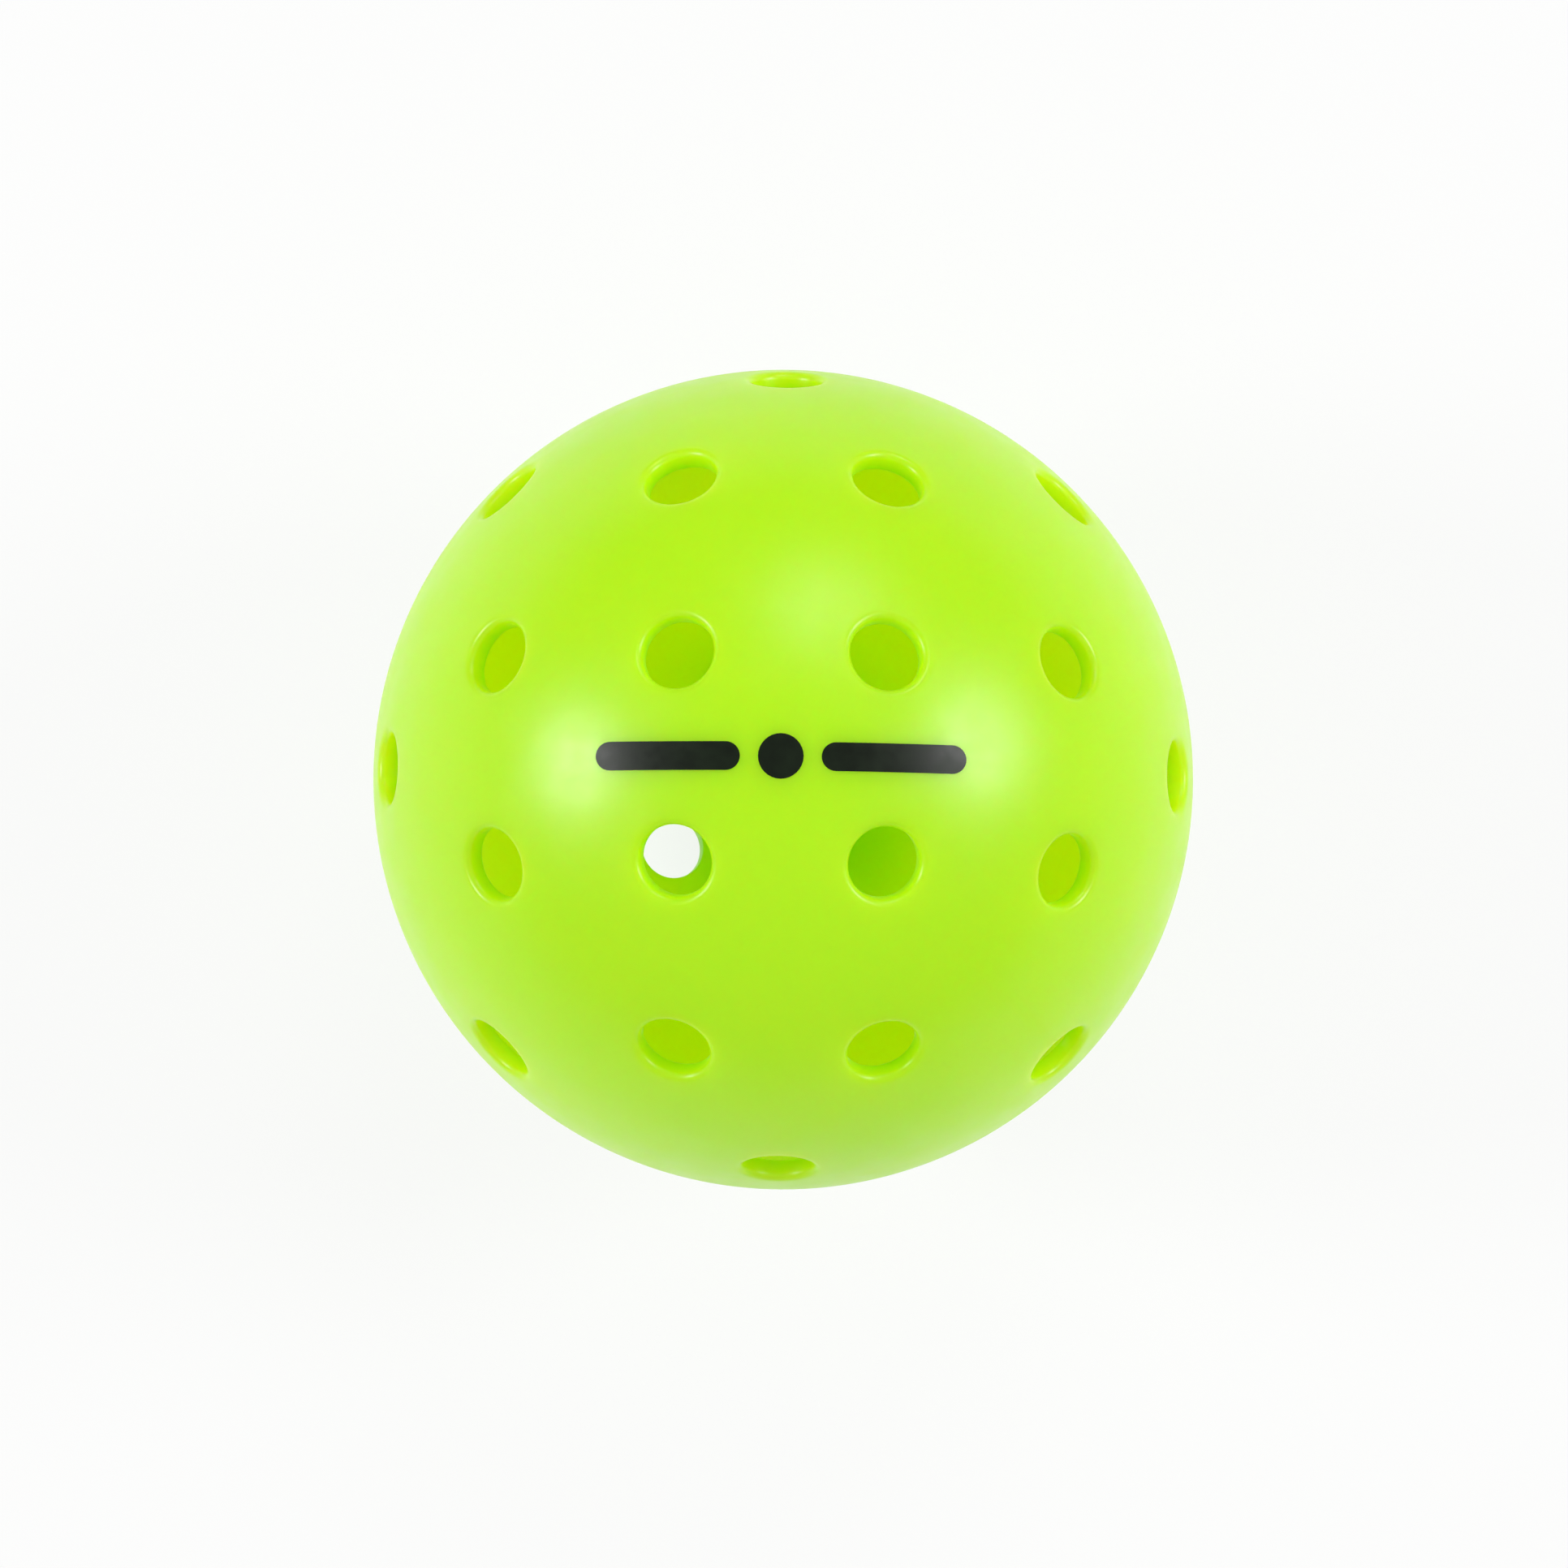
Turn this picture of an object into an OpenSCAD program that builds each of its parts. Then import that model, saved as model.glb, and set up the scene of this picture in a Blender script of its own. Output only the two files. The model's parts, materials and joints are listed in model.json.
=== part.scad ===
// Perforated plastic court ball: two moulded half shells, welded at a tongue-and-groove seam.
// Millimetres. The origin is the ball's centre, the seam lies in the XY plane, and +Z runs
// through the pole of the half that carries the printed mark.

/* [Ball] */
// Outer diameter of the ball
ball_d = 74; // [72:0.5:76]
// Thickness of the moulded wall
wall = 1.85; // [1.6:0.05:2.4]

/* [Holes] */
// Diameter of each hole
hole_d = 6.2; // [5.6:0.1:8]
// Angle from the pole to the first ring of holes
ring_1_polar = 19.8; // [18:0.2:24]
// Angle from the pole to the second ring of holes
ring_2_polar = 45; // [42:0.5:52]
// Angle from the pole to the third ring of holes
ring_3_polar = 71; // [68:0.5:76]
// Angle that each hole of a second-ring pair stands to the side of the pair's middle
pair_spread = 20.1; // [16:0.1:22.5]
// Turn of the lower half's holes against those of the upper half
lower_turn = -21; // [-45:0.5:45]

/* [Seam] */
// Thickness of the tongue on the upper half's rim
tongue_w = 0.7; // [0.5:0.05:0.9]
// Height of the tongue
tongue_h = 1; // [0.6:0.1:1.6]
// Gap at each side of the tongue in its groove
tongue_clearance = 0.05; // [0.02:0.01:0.1]
// Depth of solidified melt under the tongue
melt_h = 0.3; // [0.2:0.05:0.6]
// Width of the bevel on the outer edge of each rim, which leaves the seam as a fine line
seam_bevel = 0.12; // [0.06:0.02:0.25]

/* [Printed mark] */
// Length of the whole mark, from end to end
mark_l = 31; // [24:1:36]
// Width of its two bars
bar_w = 2.4; // [1.2:0.1:4]
// Diameter of the dot between the bars
dot_d = 3.8; // [2:0.1:5]
// Space between the dot and each bar
mark_gap = 1.5; // [0.8:0.1:3]
// Thickness of the ink film
ink = 0.06; // [0.03:0.01:0.12]

/* [Hidden] */
$fn = 96;

lime = [0.71, 0.95, 0.18];
melt_lime = [0.62, 0.86, 0.12];
ink_black = [0.10, 0.13, 0.09];

// Each ring repeats in every quarter turn
quarter = 90;
quarters = [0 : quarter : 270];

ball_r = ball_d / 2;
inner_r = ball_r - wall;
mid_r = ball_r - wall / 2;

hole_r = hole_d / 2;
// A hole meets the inside of the wall at this height above the ball's centre
inner_rim = sqrt(inner_r * inner_r - hole_r * hole_r);

tongue_in = mid_r - tongue_w / 2;
tongue_out = mid_r + tongue_w / 2;
groove_in = tongue_in - tongue_clearance;
groove_out = tongue_out + tongue_clearance;
groove_h = tongue_h + melt_h;

// How far a cutting shape runs past the surface that it cuts
overrun = 0.4;

bar_l = (mark_l - dot_d) / 2 - mark_gap;
bar_mid = (mark_l - bar_l) / 2;

// One radial hole along +Z
module hole() {
    translate([0, 0, inner_rim - overrun]) cylinder(r = hole_r, h = ball_r - inner_rim + 2 * overrun);
}

module hole_at(polar, azimuth) {
    rotate([0, polar, azimuth]) hole();
}

// The three rings of holes round the +Z pole
module hole_pattern() {
    for (turn = quarters) {
        hole_at(ring_1_polar, turn + quarter / 2);
        hole_at(ring_2_polar, turn - pair_spread);
        hole_at(ring_2_polar, turn + pair_spread);
        hole_at(ring_3_polar, turn);
        hole_at(ring_3_polar, turn + quarter / 2);
    }
}

// Ring of square section about the Z axis, between two radii and two heights
module ring(inner, outer, low, high) {
    rotate_extrude()
        translate([inner, low])
            square([outer - inner, high - low]);
}

// What the bevel takes off a rim's outer edge
module rim_relief() {
    rotate_extrude()
        polygon([
            [ball_r - seam_bevel - overrun, -overrun],
            [ball_r + overrun, -overrun],
            [ball_r + overrun, seam_bevel + overrun]
        ]);
}

// Upper half of the perforated wall, which reaches below the seam by the given depth
module half_wall(depth) {
    difference() {
        sphere(r = ball_r);
        sphere(r = inner_r);
        translate([-ball_d, -ball_d, -ball_d - depth]) cube([2 * ball_d, 2 * ball_d, ball_d]);
        rim_relief();
        hole_pattern();
    }
}

// Outline of the mark, seen from above: a bar, a dot and a bar
module mark_outline() {
    circle(d = dot_d);
    for (side = [-1, 1])
        translate([side * bar_mid, 0]) {
            square([bar_l - bar_w, bar_w], center = true);
            for (end = [-1, 1])
                translate([end * (bar_l - bar_w) / 2, 0]) circle(d = bar_w);
        }
}

// The rim is cut down at both sides of the tongue, which is left standing
module upper_half_shell() {
    color(lime)
        difference() {
            half_wall(tongue_h);
            ring(inner_r - overrun, tongue_in, -tongue_h - overrun, 0);
            ring(tongue_out, ball_r + overrun, -tongue_h - overrun, 0);
        }
}

module lower_half_shell() {
    color(lime)
        difference() {
            rotate([0, 0, lower_turn]) mirror([0, 0, 1]) half_wall(0);
            ring(groove_in, groove_out, -groove_h, overrun);
        }
}

module weld_ring() {
    color(melt_lime) ring(groove_in, groove_out, -groove_h, -tongue_h);
}

module printed_mark() {
    color(ink_black)
        difference() {
            intersection() {
                sphere(r = ball_r + ink);
                linear_extrude(height = ball_d) mark_outline();
            }
            sphere(r = ball_r);
        }
}

upper_half_shell();
lower_half_shell();
weld_ring();
printed_mark();
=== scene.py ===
import json
from math import acos, asin, atan2, cos, pi, radians, sin, sqrt, tan

import bmesh
import bpy
from mathutils import Euler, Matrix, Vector


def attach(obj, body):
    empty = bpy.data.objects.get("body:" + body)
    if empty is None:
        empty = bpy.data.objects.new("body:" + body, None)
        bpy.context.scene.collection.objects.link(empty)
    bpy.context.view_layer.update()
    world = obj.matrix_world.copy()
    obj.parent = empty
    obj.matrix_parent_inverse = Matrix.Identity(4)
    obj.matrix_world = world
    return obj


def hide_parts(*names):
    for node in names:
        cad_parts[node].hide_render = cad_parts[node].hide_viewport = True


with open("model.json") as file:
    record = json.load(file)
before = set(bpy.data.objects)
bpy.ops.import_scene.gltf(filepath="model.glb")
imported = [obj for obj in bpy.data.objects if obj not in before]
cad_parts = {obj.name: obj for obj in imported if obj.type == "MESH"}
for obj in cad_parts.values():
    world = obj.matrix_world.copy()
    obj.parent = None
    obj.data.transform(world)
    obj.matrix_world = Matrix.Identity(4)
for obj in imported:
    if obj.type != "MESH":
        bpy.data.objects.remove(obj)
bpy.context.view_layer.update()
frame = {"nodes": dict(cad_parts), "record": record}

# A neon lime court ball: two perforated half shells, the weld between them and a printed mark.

MM = 0.001

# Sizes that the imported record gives
MOUNTS = {mount["name"]: mount for mount in frame["record"]["mounts"]}
BALL_R = -MOUNTS["cradle_seat"]["pos_m"][2]
HOLE_R = MOUNTS["cord_hole"]["dims"]["r_mm"] * MM
RING_1_POLAR = acos(MOUNTS["cord_hole"]["axis"][2])

# Sizes of the shells that only the part's source holds
WALL = 1.85 * MM
RING_2_POLAR = radians(45)
RING_3_POLAR = radians(71)
PAIR_SPREAD = radians(20.1)
LOWER_TURN = radians(-21)
TONGUE_W = 0.7 * MM
TONGUE_H = 1.0 * MM
TONGUE_CLEARANCE = 0.05 * MM
MELT_H = 0.3 * MM
SEAM_BEVEL = 0.12 * MM
QUARTER = pi / 2
INNER_R = BALL_R - WALL
MID_R = BALL_R - WALL / 2
GROOVE_H = TONGUE_H + MELT_H

# Rounding of the holes' edges
OUTER_ROUND = 0.6 * MM
INNER_ROUND = 0.3 * MM
ROUND_STEPS = 5
RIM_SIDES = 64

# Radii round a hole's axis: its flat collar, the dome's opening, and the reach within which its loops lie
COLLAR_R = HOLE_R + 1.1 * MM
CLEAR_R = COLLAR_R + 0.45 * MM
REACH_R = COLLAR_R + 2.5 * MM

# Fineness of the meshes, and the angle from which an edge stays crisp
DOME_FINENESS = 7
MARK_CELL = 0.5 * MM
MARK_ROWS = 16
MARK_MIN_COLUMNS = 8
TINY = 0.001 * MM
CRISP_ANGLE = radians(35)

# Plastic beside the seam: its translucency where it is fused, and the height over which that fades
SEAM_CLARITY = 0.3
SEAM_BLEND = 0.5 * MM

# Painted glow in the neon colour: a fixed emission that brightens the plastic whatever light falls on it,
# and so lifts the dim insides of the holes most
PAINTED_GLOW = (0.035, 0.088, 0, 1)

# Printed mark
MARK_L = 31 * MM
BAR_W = 2.4 * MM
DOT_D = 3.8 * MM
MARK_GAP = 1.5 * MM
INK = 0.06 * MM
BAR_L = (MARK_L - DOT_D) / 2 - MARK_GAP
BAR_MID = (MARK_L - BAR_L) / 2

# Floor and light: how much of the floor's white is its own where it is seen, and the world's two sides
FLOOR_SIZE = 6
FLOOR_GLOW = 0.85
WORLD_NEAR = 0.45
WORLD_FAR = 0.25
LAMP_DISTANCE = 1.0

# Camera, with sizes in the photo's pixels: it looks from almost straight above the printed pole
FRAME_PX = 1932
BALL_RADIUS_PX = 505
FRAME_SHIFT_PX = (1.0, -5.4)
CAMERA_DISTANCE = 12 * BALL_R
CAMERA_TURN = Euler((radians(3.0), radians(0.3), radians(0.6)))
SENSOR_MM = 36


# Selection and modes

def deselect():
    """Nothing is selected in object mode."""
    bpy.ops.object.select_all(action="DESELECT")


def open_mesh(piece):
    """Edit mode on one piece, with nothing selected in it."""
    deselect()
    bpy.context.view_layer.objects.active = piece
    piece.select_set(True)
    bpy.ops.object.mode_set(mode="EDIT")
    bpy.ops.mesh.select_mode(type="EDGE")
    bpy.ops.mesh.select_all(action="DESELECT")


def close_mesh():
    bpy.ops.object.mode_set(mode="OBJECT")


def select_edges(piece, wanted):
    """Selects just the edges for which wanted(edge) holds."""
    bpy.ops.mesh.select_all(action="DESELECT")
    mesh = bmesh.from_edit_mesh(piece.data)
    for edge in mesh.edges:
        if wanted(edge):
            edge.select_set(True)
    bmesh.update_edit_mesh(piece.data)


def middle(edge):
    return (edge.verts[0].co + edge.verts[1].co) / 2


def copy_of(piece, name):
    """A copy with a mesh of its own."""
    twin = piece.copy()
    twin.data = piece.data.copy()
    twin.name = name
    bpy.context.collection.objects.link(twin)
    return twin


def apply_place(piece):
    """Moves the piece's place and turn into its mesh."""
    deselect()
    piece.select_set(True)
    bpy.context.view_layer.objects.active = piece
    bpy.ops.object.transform_apply(location=True, rotation=True, scale=True)


def apply_modifier(piece, kind, **settings):
    """Adds one modifier with these settings and applies it."""
    deselect()
    piece.select_set(True)
    bpy.context.view_layer.objects.active = piece
    modifier = piece.modifiers.new(kind.lower(), kind)
    for setting, value in settings.items():
        setattr(modifier, setting, value)
    bpy.ops.object.modifier_apply(modifier=modifier.name)


def extrude_through(steps):
    """Extrudes the selected loop, which runs round the Z axis, through radii and heights."""
    for (radius, height), (next_radius, next_height) in zip(steps, steps[1:]):
        rise = (0, 0, next_height - height)
        bpy.ops.mesh.extrude_region_move(TRANSFORM_OT_translate={"value": rise})
        share = next_radius / radius
        bpy.ops.transform.resize(value=(share, share, 1), center_override=(0, 0, next_height))


# Half shells

def hole_turns():
    """Polar angle and azimuth of each hole of a half, from its pole."""
    turns = []
    for quarter in range(4):
        start = quarter * QUARTER
        turns.append((RING_1_POLAR, start + QUARTER / 2))
        turns.append((RING_2_POLAR, start - PAIR_SPREAD))
        turns.append((RING_2_POLAR, start + PAIR_SPREAD))
        turns.append((RING_3_POLAR, start))
        turns.append((RING_3_POLAR, start + QUARTER / 2))
    return turns


def hole_axis(polar, azimuth):
    return Vector((sin(polar) * cos(azimuth), sin(polar) * sin(azimuth), cos(polar)))


def rim_steps():
    """Radius and height of each step of a hole's edge, from the outside of the wall to its inside.
    Both edges are rounded, and a flat collar lies round each on the wall's surface."""
    outer_r = HOLE_R + OUTER_ROUND
    inner_r = HOLE_R + INNER_ROUND
    outer_h = sqrt((BALL_R - OUTER_ROUND) ** 2 - outer_r ** 2)
    inner_h = sqrt((INNER_R + INNER_ROUND) ** 2 - inner_r ** 2)
    outer_arc = (atan2(outer_h, outer_r), pi, outer_r, outer_h, OUTER_ROUND)
    inner_arc = (pi, pi + atan2(inner_h, inner_r), inner_r, inner_h, INNER_ROUND)
    steps = [(COLLAR_R, sqrt(BALL_R ** 2 - COLLAR_R ** 2))]
    for first, last, mid_r, mid_h, size in (outer_arc, inner_arc):
        for step in range(ROUND_STEPS + 1):
            turn = first + (last - first) * step / ROUND_STEPS
            steps.append((mid_r + size * cos(turn), mid_h + size * sin(turn)))
    steps.append((COLLAR_R, sqrt(INNER_R ** 2 - COLLAR_R ** 2)))
    return steps


def make_rim():
    """The wall round one hole, along +Z."""
    steps = rim_steps()
    radius, height = steps[0]
    deselect()
    bpy.ops.mesh.primitive_circle_add(vertices=RIM_SIDES, radius=radius, location=(0, 0, height))
    rim = bpy.context.object
    apply_place(rim)
    open_mesh(rim)
    bpy.ops.mesh.select_all(action="SELECT")
    extrude_through(steps)
    close_mesh()
    return rim


def make_dome(radius, axes):
    """Upper half of a sphere, cut open round each hole."""
    deselect()
    bpy.ops.mesh.primitive_ico_sphere_add(subdivisions=DOME_FINENESS, radius=radius)
    dome = bpy.context.object
    open_mesh(dome)
    bpy.ops.mesh.select_mode(type="VERT")
    mesh = bmesh.from_edit_mesh(dome.data)
    open_cos = cos(asin(CLEAR_R / radius))
    for vertex in mesh.verts:
        direction = vertex.co.normalized()
        in_hole = any(direction.dot(axis) > open_cos for axis in axes)
        vertex.select_set(in_hole or vertex.co.z < -TINY)
    bpy.ops.mesh.delete(type="VERT")
    close_mesh()
    return dome


def bridge_hole(piece, axis, outside):
    """Closes the ring between a dome's opening and its rim, on one side of the wall."""
    reach_cos = cos(asin(REACH_R / BALL_R))

    def beside_hole(edge):
        if not edge.is_boundary:
            return False
        place = middle(edge)
        return place.normalized().dot(axis) > reach_cos and (place.length > MID_R) == outside

    select_edges(piece, beside_hole)
    bpy.ops.mesh.bridge_edge_loops()


def make_half_wall():
    """Upper half of the perforated wall, with its rim still open."""
    turns = hole_turns()
    axes = [hole_axis(polar, azimuth) for polar, azimuth in turns]
    wall = make_dome(BALL_R, axes)
    others = [make_dome(INNER_R, axes)]
    rim = make_rim()
    for polar, azimuth in turns:
        turned = copy_of(rim, "hole_rim")
        turned.rotation_euler = Euler((0, polar, azimuth))
        apply_place(turned)
        others.append(turned)
    bpy.data.objects.remove(rim)
    deselect()
    for other in others:
        other.select_set(True)
    wall.select_set(True)
    bpy.context.view_layer.objects.active = wall
    bpy.ops.object.join()
    open_mesh(wall)
    for axis in axes:
        bridge_hole(wall, axis, outside=True)
        bridge_hole(wall, axis, outside=False)
    close_mesh()
    return wall


def close_seam(half, steps):
    """Extrudes the outer rim through the seam's steps, up to the inner rim, and merges the two."""
    open_mesh(half)
    select_edges(half, lambda edge: edge.is_boundary and middle(edge).length > MID_R)
    bpy.ops.transform.translate(value=(0, 0, SEAM_BEVEL))
    extrude_through(steps)
    bpy.ops.mesh.select_all(action="SELECT")
    bpy.ops.mesh.remove_doubles(threshold=TINY)
    bpy.ops.mesh.normals_make_consistent(inside=False)
    close_mesh()


def finish_shell(half):
    """Smooth shading that keeps the seam's edges crisp."""
    deselect()
    half.select_set(True)
    bpy.context.view_layer.objects.active = half
    bpy.ops.object.shade_smooth_by_angle(angle=CRISP_ANGLE)
    apply_modifier(half, "WEIGHTED_NORMAL", keep_sharp=True)


def make_shells():
    """Both half shells, with a tongue on the upper rim and its groove in the lower one."""
    tongue_in = MID_R - TONGUE_W / 2
    tongue_out = MID_R + TONGUE_W / 2
    groove_in = tongue_in - TONGUE_CLEARANCE
    groove_out = tongue_out + TONGUE_CLEARANCE
    bevel = [(BALL_R, SEAM_BEVEL), (BALL_R - SEAM_BEVEL, 0)]
    tongue = [(tongue_out, 0), (tongue_out, -TONGUE_H), (tongue_in, -TONGUE_H), (tongue_in, 0)]
    groove = [(groove_out, 0), (groove_out, GROOVE_H), (groove_in, GROOVE_H), (groove_in, 0)]
    inner_rim = [(INNER_R, 0)]

    upper = make_half_wall()
    upper.name = "upper_shell_finish"
    lower = copy_of(upper, "lower_shell_finish")
    close_seam(upper, bevel + tongue + inner_rim)
    close_seam(lower, bevel + groove + inner_rim)
    lower.rotation_euler = Euler((pi, 0, LOWER_TURN))
    apply_place(lower)
    finish_shell(upper)
    finish_shell(lower)
    return upper, lower


# Printed mark

def make_bar(length, width, middle_x):
    """One flat bar with round ends, from a grid whose rows are drawn in towards the ends."""
    columns = max(MARK_MIN_COLUMNS, round(length / MARK_CELL))
    deselect()
    bpy.ops.mesh.primitive_grid_add(x_subdivisions=columns, y_subdivisions=MARK_ROWS, size=2)
    bar = bpy.context.object
    straight = (length - width) / 2
    for vertex in bar.data.vertices:
        share = sin(vertex.co.y * QUARTER)
        half_l = straight + width / 2 * sqrt(max(0, 1 - share * share))
        vertex.co = (middle_x + vertex.co.x * half_l, share * width / 2, 0)
    return bar


def make_mark():
    """Bar, dot and bar, laid on the pole as a film of ink."""
    mark = make_bar(DOT_D, DOT_D, 0)
    bars = [make_bar(BAR_L, BAR_W, side * BAR_MID) for side in (-1, 1)]
    deselect()
    for piece in (mark, *bars):
        piece.select_set(True)
    bpy.context.view_layer.objects.active = mark
    bpy.ops.object.join()
    mark.name = "mark_print"
    for vertex in mark.data.vertices:
        vertex.co.z = sqrt(BALL_R ** 2 - vertex.co.x ** 2 - vertex.co.y ** 2)
    open_mesh(mark)
    bpy.ops.mesh.select_all(action="SELECT")
    bpy.ops.mesh.remove_doubles(threshold=TINY)
    bpy.ops.mesh.normals_make_consistent(inside=False)
    close_mesh()
    apply_modifier(mark, "SOLIDIFY", thickness=INK, offset=1)
    deselect()
    mark.select_set(True)
    bpy.context.view_layer.objects.active = mark
    bpy.ops.object.shade_smooth_by_angle(angle=CRISP_ANGLE)
    return mark


# Materials

def new_material(name):
    """A material with a Principled shader, its node tree and an Object coordinate."""
    material = bpy.data.materials.new(name)
    material.use_nodes = True
    tree = material.node_tree
    shader = tree.nodes["Principled BSDF"]
    place = tree.nodes.new("ShaderNodeTexCoord").outputs["Object"]
    return material, tree, shader, place


def add_noise(tree, place, grain, detail):
    """Noise whose spots are about the given size."""
    noise = tree.nodes.new("ShaderNodeTexNoise")
    noise.inputs["Scale"].default_value = 1 / grain
    noise.inputs["Detail"].default_value = detail
    tree.links.new(place, noise.inputs["Vector"])
    return noise.outputs["Fac"]


def add_range(tree, value, low, high, start=0.3, end=0.7):
    """Spreads a value's stretch from start to end over low to high. Noise mostly stays in 0.3 to 0.7."""
    spread = tree.nodes.new("ShaderNodeMapRange")
    for socket, number in (("From Min", start), ("From Max", end), ("To Min", low), ("To Max", high)):
        spread.inputs[socket].default_value = number
    tree.links.new(value, spread.inputs["Value"])
    return spread.outputs["Result"]


def add_blend(tree, share, first, second):
    """A colour between two, by share."""
    mix = tree.nodes.new("ShaderNodeMix")
    mix.data_type = "RGBA"
    mix.inputs["A"].default_value = (*first, 1)
    mix.inputs["B"].default_value = (*second, 1)
    tree.links.new(share, mix.inputs["Factor"])
    return mix.outputs["Result"]


def add_bump(tree, shader, height, depth, strength):
    bump = tree.nodes.new("ShaderNodeBump")
    bump.inputs["Strength"].default_value = strength
    bump.inputs["Distance"].default_value = depth
    tree.links.new(height, bump.inputs["Height"])
    tree.links.new(bump.outputs["Normal"], shader.inputs["Normal"])


def clear_of_seam(tree, place):
    """Low along the fused seam, where the wall passes little light on, and 1 beyond it."""
    half_groove = GROOVE_H / 2
    split = tree.nodes.new("ShaderNodeSeparateXYZ")
    tree.links.new(place, split.inputs["Vector"])
    raised = tree.nodes.new("ShaderNodeMath")
    raised.operation = "ADD"
    raised.inputs[1].default_value = half_groove
    tree.links.new(split.outputs["Z"], raised.inputs[0])
    distance = tree.nodes.new("ShaderNodeMath")
    distance.operation = "ABSOLUTE"
    tree.links.new(raised.outputs["Value"], distance.inputs[0])
    return add_range(tree, distance.outputs["Value"], SEAM_CLARITY, 1, half_groove, half_groove + SEAM_BLEND)


def lime_plastic():
    """Translucent satin polyethylene: cloudy neon pigment, uneven gloss, a fine moulded grain, and a painted
    glow that lights it evenly.
    """
    material, tree, shader, place = new_material("lime_plastic")
    cloud = add_range(tree, add_noise(tree, place, 9 * MM, 3), 0, 1)
    colour = add_blend(tree, cloud, (0.52, 0.965, 0.001), (0.56, 0.99, 0.002))
    tree.links.new(colour, shader.inputs["Base Color"])
    haze = add_range(tree, add_noise(tree, place, 3 * MM, 4), 0.30, 0.38)
    tree.links.new(haze, shader.inputs["Roughness"])
    add_bump(tree, shader, add_noise(tree, place, 0.35 * MM, 4), 0.01 * MM, 0.2)
    tree.links.new(clear_of_seam(tree, place), shader.inputs["Subsurface Weight"])
    shader.inputs["Subsurface Radius"].default_value = (2, 1, 0.2)
    shader.inputs["Subsurface Scale"].default_value = 7 * MM
    # Painted glow: a fixed emission that brightens the plastic under any light
    shader.inputs["Emission Color"].default_value = PAINTED_GLOW
    shader.inputs["Emission Strength"].default_value = 1
    return material


def weld_plastic():
    """The same plastic after it has melted: duller and darker."""
    material, tree, shader, place = new_material("weld_plastic")
    flow = add_range(tree, add_noise(tree, place, 1.2 * MM, 4), 0, 1)
    colour = add_blend(tree, flow, (0.33, 0.68, 0.012), (0.40, 0.78, 0.02))
    tree.links.new(colour, shader.inputs["Base Color"])
    tree.links.new(add_range(tree, flow, 0.4, 0.55, 0, 1), shader.inputs["Roughness"])
    add_bump(tree, shader, flow, 0.03 * MM, 0.4)
    return material


def print_ink():
    """Pad-printed ink: near black, with a slightly uneven film."""
    material, tree, shader, place = new_material("print_ink")
    film = add_range(tree, add_noise(tree, place, 1.5 * MM, 4), 0, 1)
    colour = add_blend(tree, film, (0.002, 0.006, 0.001), (0.004, 0.012, 0.002))
    tree.links.new(colour, shader.inputs["Base Color"])
    tree.links.new(add_range(tree, film, 0.30, 0.40, 0, 1), shader.inputs["Roughness"])
    add_bump(tree, shader, add_noise(tree, place, 0.3 * MM, 3), 0.01 * MM, 0.2)
    shader.inputs["Specular IOR Level"].default_value = 0.3
    return material


def white_floor():
    """Pale matte floor that the camera sees as almost white, and that keeps the ball's shadow."""
    material, tree, shader, place = new_material("white_floor")
    shade = add_range(tree, add_noise(tree, place, 200 * MM, 2), 0, 1)
    colour = add_blend(tree, shade, (0.89, 0.89, 0.89), (0.91, 0.91, 0.91))
    tree.links.new(colour, shader.inputs["Base Color"])
    shader.inputs["Roughness"].default_value = 0.9
    shader.inputs["Specular IOR Level"].default_value = 0
    path = tree.nodes.new("ShaderNodeLightPath")
    seen = path.outputs["Is Camera Ray"]
    for ray in ("Is Glossy Ray", "Is Transmission Ray"):
        either = tree.nodes.new("ShaderNodeMath")
        either.operation = "MAXIMUM"
        tree.links.new(seen, either.inputs[0])
        tree.links.new(path.outputs[ray], either.inputs[1])
        seen = either.outputs["Value"]
    share = add_range(tree, seen, 0, FLOOR_GLOW, 0, 1)
    glow = tree.nodes.new("ShaderNodeEmission")
    glow.inputs["Color"].default_value = (1, 1, 1, 1)
    glow.inputs["Strength"].default_value = 1
    mix = tree.nodes.new("ShaderNodeMixShader")
    tree.links.new(share, mix.inputs["Fac"])
    tree.links.new(shader.outputs["BSDF"], mix.inputs[1])
    tree.links.new(glow.outputs["Emission"], mix.inputs[2])
    output = tree.nodes["Material Output"]
    tree.links.new(mix.outputs["Shader"], output.inputs["Surface"])
    return material


def dress(piece, material):
    piece.data.materials.clear()
    piece.data.materials.append(material)


# Stage

def make_floor():
    deselect()
    bpy.ops.mesh.primitive_plane_add(size=FLOOR_SIZE, location=(0, 0, -BALL_R))
    floor = bpy.context.object
    floor.name = "floor"
    dress(floor, white_floor())


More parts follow.
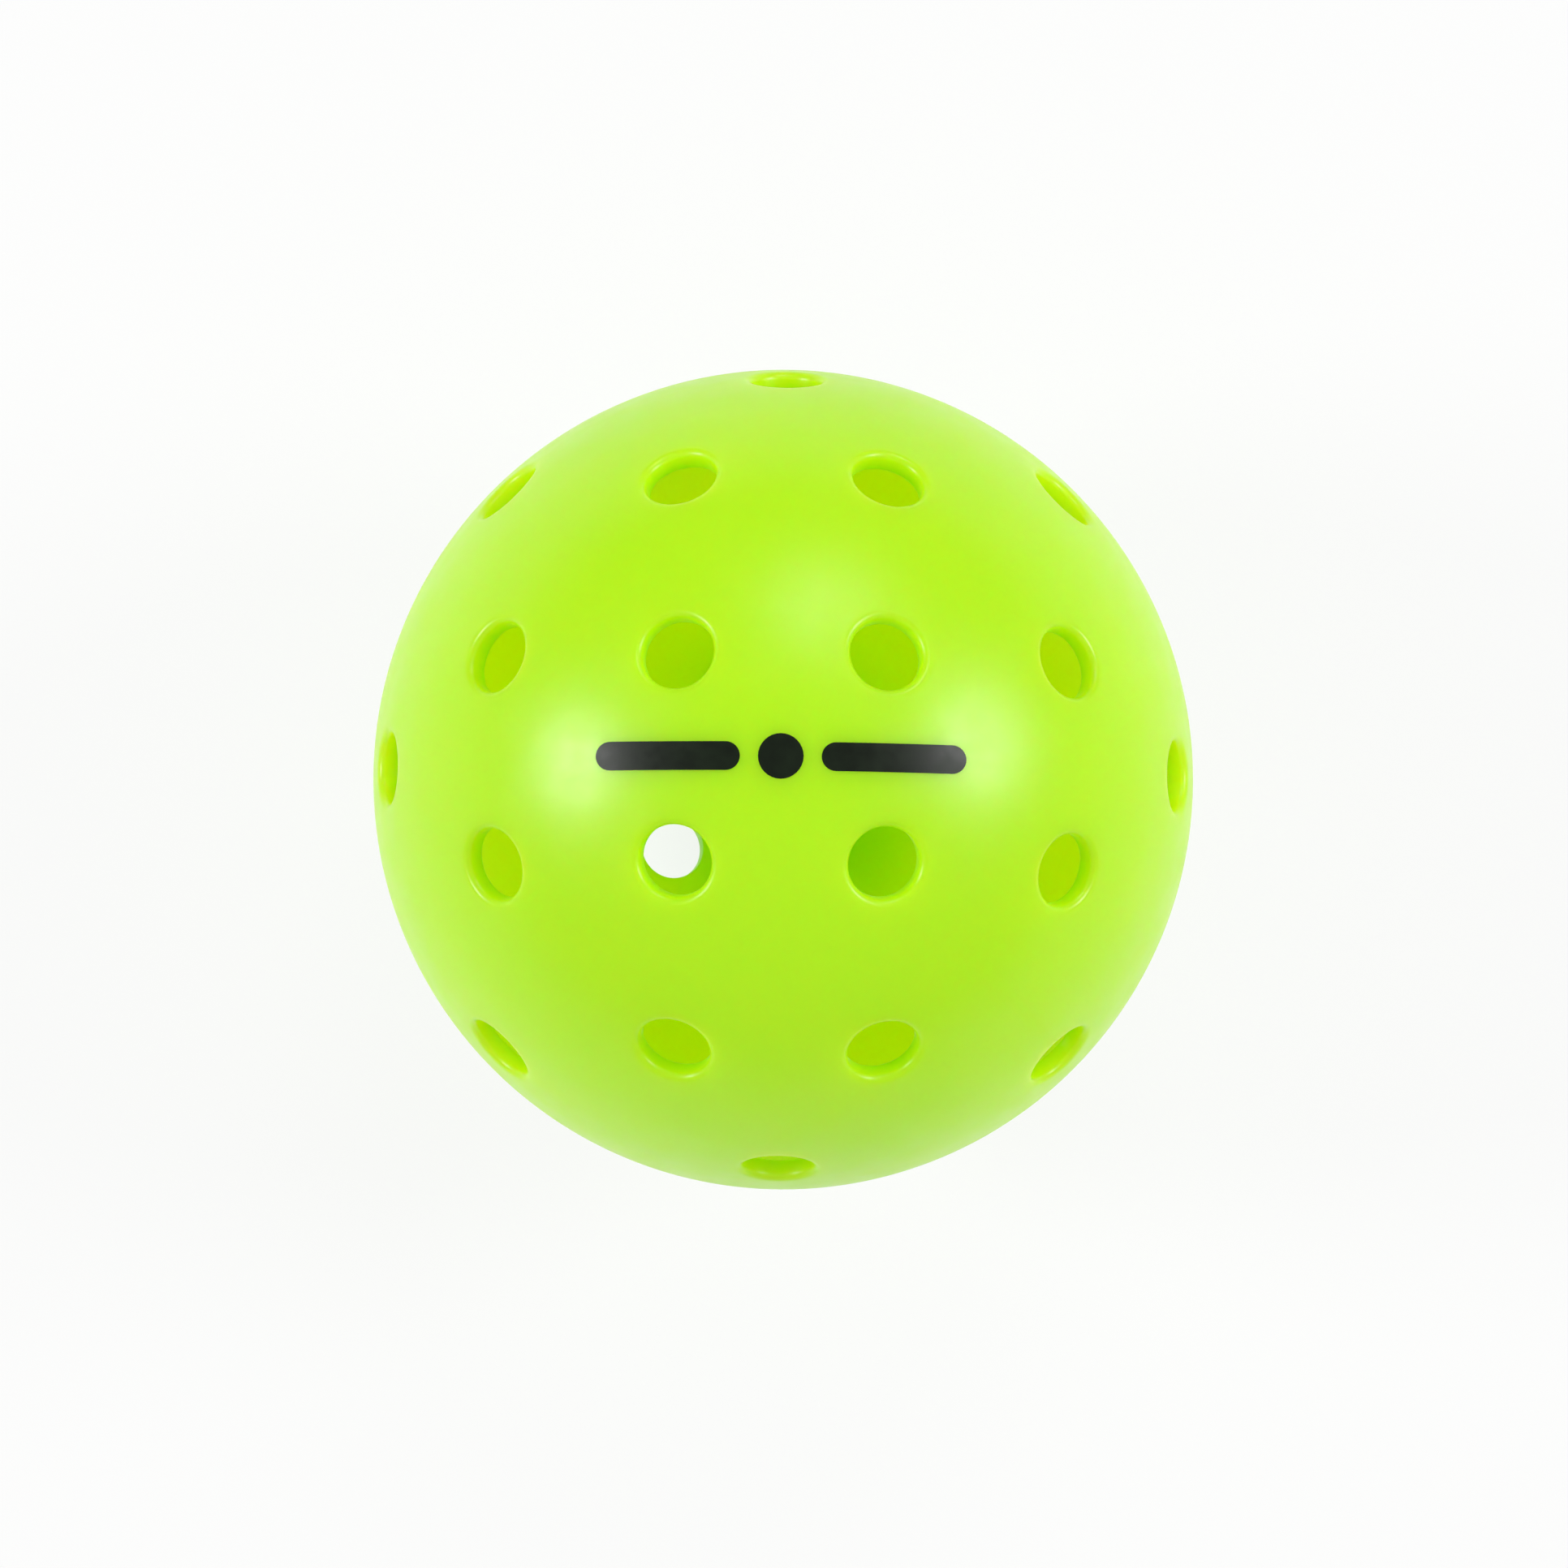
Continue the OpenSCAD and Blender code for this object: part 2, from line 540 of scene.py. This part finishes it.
def make_world():
    """Soft white surroundings, a little brighter on the side away from the top lamp."""
    world = bpy.data.worlds.new("studio")
    world.use_nodes = True
    bpy.context.scene.world = world
    tree = world.node_tree
    background = tree.nodes["Background"]
    background.inputs["Color"].default_value = (1, 1, 1, 1)
    direction = tree.nodes.new("ShaderNodeTexCoord").outputs["Generated"]
    sides = tree.nodes.new("ShaderNodeSeparateXYZ")
    tree.links.new(direction, sides.inputs["Vector"])
    strength = add_range(tree, sides.outputs["Y"], WORLD_NEAR, WORLD_FAR, -1, 1)
    tree.links.new(strength, background.inputs["Strength"])


def add_lamp(name, towards, size, power):
    """A soft lamp in the given direction from the ball, facing it."""
    direction = Vector(towards).normalized()
    deselect()
    bpy.ops.object.light_add(type="AREA", location=direction * LAMP_DISTANCE)
    lamp = bpy.context.object
    lamp.name = name
    lamp.rotation_euler = direction.to_track_quat("Z", "Y").to_euler()
    lamp.data.shape = "DISK"
    lamp.data.size = size
    lamp.data.energy = power


def add_camera():
    """The photo's view: from above, with the ball's outline at its place in the frame."""
    px = BALL_R / BALL_RADIUS_PX
    place = Vector((FRAME_SHIFT_PX[0] * px, FRAME_SHIFT_PX[1] * px, CAMERA_DISTANCE))
    deselect()
    bpy.ops.object.camera_add(location=CAMERA_TURN.to_matrix() @ place, rotation=CAMERA_TURN)
    camera = bpy.context.object
    half_angle = asin(BALL_R / CAMERA_DISTANCE)
    camera.data.sensor_width = SENSOR_MM
    camera.data.lens = SENSOR_MM / 2 / (FRAME_PX / 2 / BALL_RADIUS_PX * tan(half_angle))
    camera.data.clip_start = 0.01
    camera.data.clip_end = 50
    bpy.context.scene.camera = camera


# The ball

upper_shell, lower_shell = make_shells()
mark_print = make_mark()
lime = lime_plastic()
for shell, node in ((upper_shell, "upper_half_shell"), (lower_shell, "lower_half_shell")):
    dress(shell, lime)
    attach(shell, "root")
    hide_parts(node)
dress(mark_print, print_ink())
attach(mark_print, "root")
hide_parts("printed_mark")
dress(frame["nodes"]["weld_ring"], weld_plastic())

# Its surroundings

make_floor()
make_world()
add_lamp("lamp_top", (0.170, 0.694, 0.700), 0.44, 1.75)
add_lamp("lamp_left", (-0.838, 0.033, 0.545), 0.32, 4.4)
add_lamp("lamp_right", (0.801, 0.124, 0.585), 0.40, 4.4)
add_camera()
bpy.context.scene.view_settings.view_transform = "Standard"
